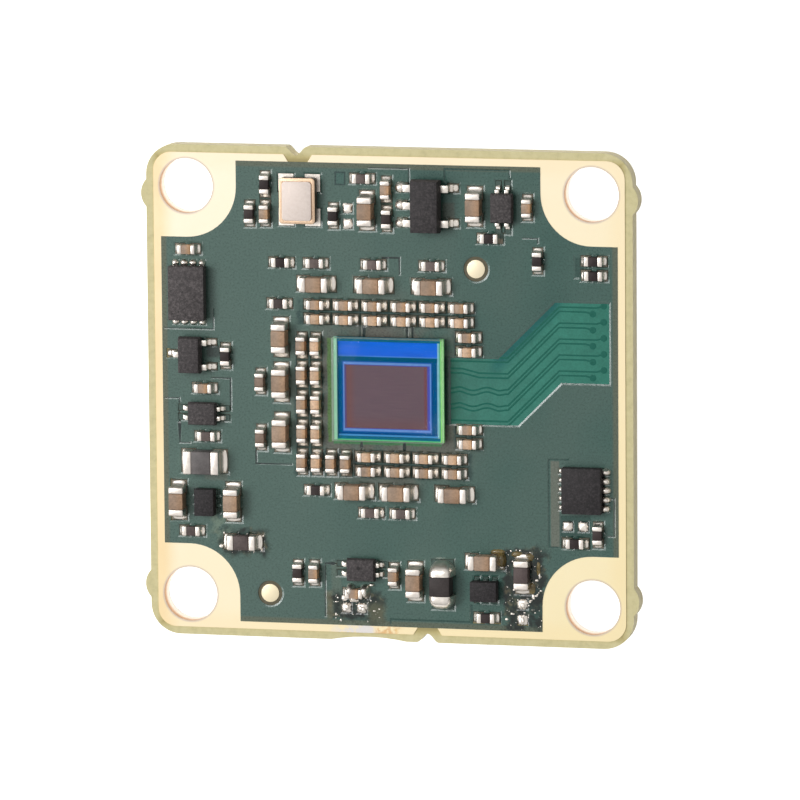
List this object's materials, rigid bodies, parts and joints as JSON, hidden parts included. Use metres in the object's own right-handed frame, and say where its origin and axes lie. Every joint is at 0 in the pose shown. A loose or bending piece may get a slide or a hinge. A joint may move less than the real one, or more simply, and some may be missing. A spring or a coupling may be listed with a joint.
{
  "type": "board-level machine vision camera",
  "caption": "Bare square green camera circuit board with a glass-topped image sensor in the middle, plated corner holes and small surface-mounted parts.",
  "frame": {"origin": "under the board's centre, at the level the rear parts rest on", "axes": "+X the board's right, +Y its top edge, +Z out of the sensor"},
  "size_m": [0.0276, 0.027, 0.0037],
  "materials": {
    "laminate": "matt glass-fibre laminate",
    "gold_plating": "pale gold plating, satin",
    "solder_mask": "dark green lacquer, semi-gloss",
    "tinned_metal": "bright tin, softly uneven",
    "solder": "bright solder",
    "lead_metal": "tinned leads, satin",
    "black_mould": "fine-grained black moulding",
    "silicon": "polished blue silicon",
    "pixel_filter": "dark maroon colour filter",
    "shield_metal": "periwinkle metal shield",
    "dam_adhesive": "teal adhesive",
    "cover_glass": "clear glass with green edges",
    "dark_ceramic": "matt ceramic",
    "lid_metal": "satin warm-grey metal",
    "orange_ceramic": "matt orange-brown ceramic",
    "brown_ceramic": "matt brown ceramic",
    "resistor_coat": "black coat, semi-gloss",
    "ferrite": "matt dark ferrite",
    "grey_ceramic": "grey ceramic",
    "connector_plastic": "black moulded plastic",
    "contact_gold": "gold-plated spring metal"
  },
  "bodies": {
    "root": {"board_laminate": "laminate", "ground_plating": "gold_plating", "solder_mask_front": "solder_mask", "solder_mask_back": "solder_mask", "fiducials": "gold_plating", "front_lands": "tinned_metal", "rear_lands": "tinned_metal", "sensor_balls": "tinned_metal", "sensor_die": "silicon", "pixel_array": "pixel_filter", "light_shield": "shield_metal", "sensor_dam": "dam_adhesive", "sensor_glass": "cover_glass", "oscillator_base": "dark_ceramic", "oscillator_ring": "gold_plating", "oscillator_lid": "lid_metal", "regulator_body": "black_mould", "regulator_leads": "lead_metal", "small_regulator_bodies": "black_mould", "small_regulator_leads": "lead_metal", "transistor_body": "black_mould", "transistor_leads": "lead_metal", "memory_body": "black_mould", "memory_terminals": "lead_metal", "driver_body": "black_mould", "driver_terminals": "lead_metal", "switch_bodies": "black_mould", "switch_terminals": "lead_metal", "small_capacitors": "orange_ceramic", "small_capacitor_ends": "tinned_metal", "large_capacitors": "brown_ceramic", "large_capacitor_ends": "tinned_metal", "resistors": "resistor_coat", "resistor_ends": "tinned_metal", "ferrite_chips": "ferrite", "ferrite_chip_ends": "tinned_metal", "filter_body": "grey_ceramic", "filter_ends": "tinned_metal", "choke_body": "ferrite", "choke_ends": "tinned_metal", "choke_solder": "solder", "chip_solder": "solder", "lead_solder": "solder", "spare_land_solder": "solder", "connector_housing": "connector_plastic", "connector_contacts": "contact_gold", "connector_hold_downs": "lead_metal", "inductor_bodies": "ferrite", "inductor_ends": "tinned_metal", "converter_bodies": "black_mould", "converter_terminals": "lead_metal", "rear_capacitors": "brown_ceramic", "rear_capacitor_ends": "tinned_metal", "rear_solder": "solder"}
  },
  "joints": []
}
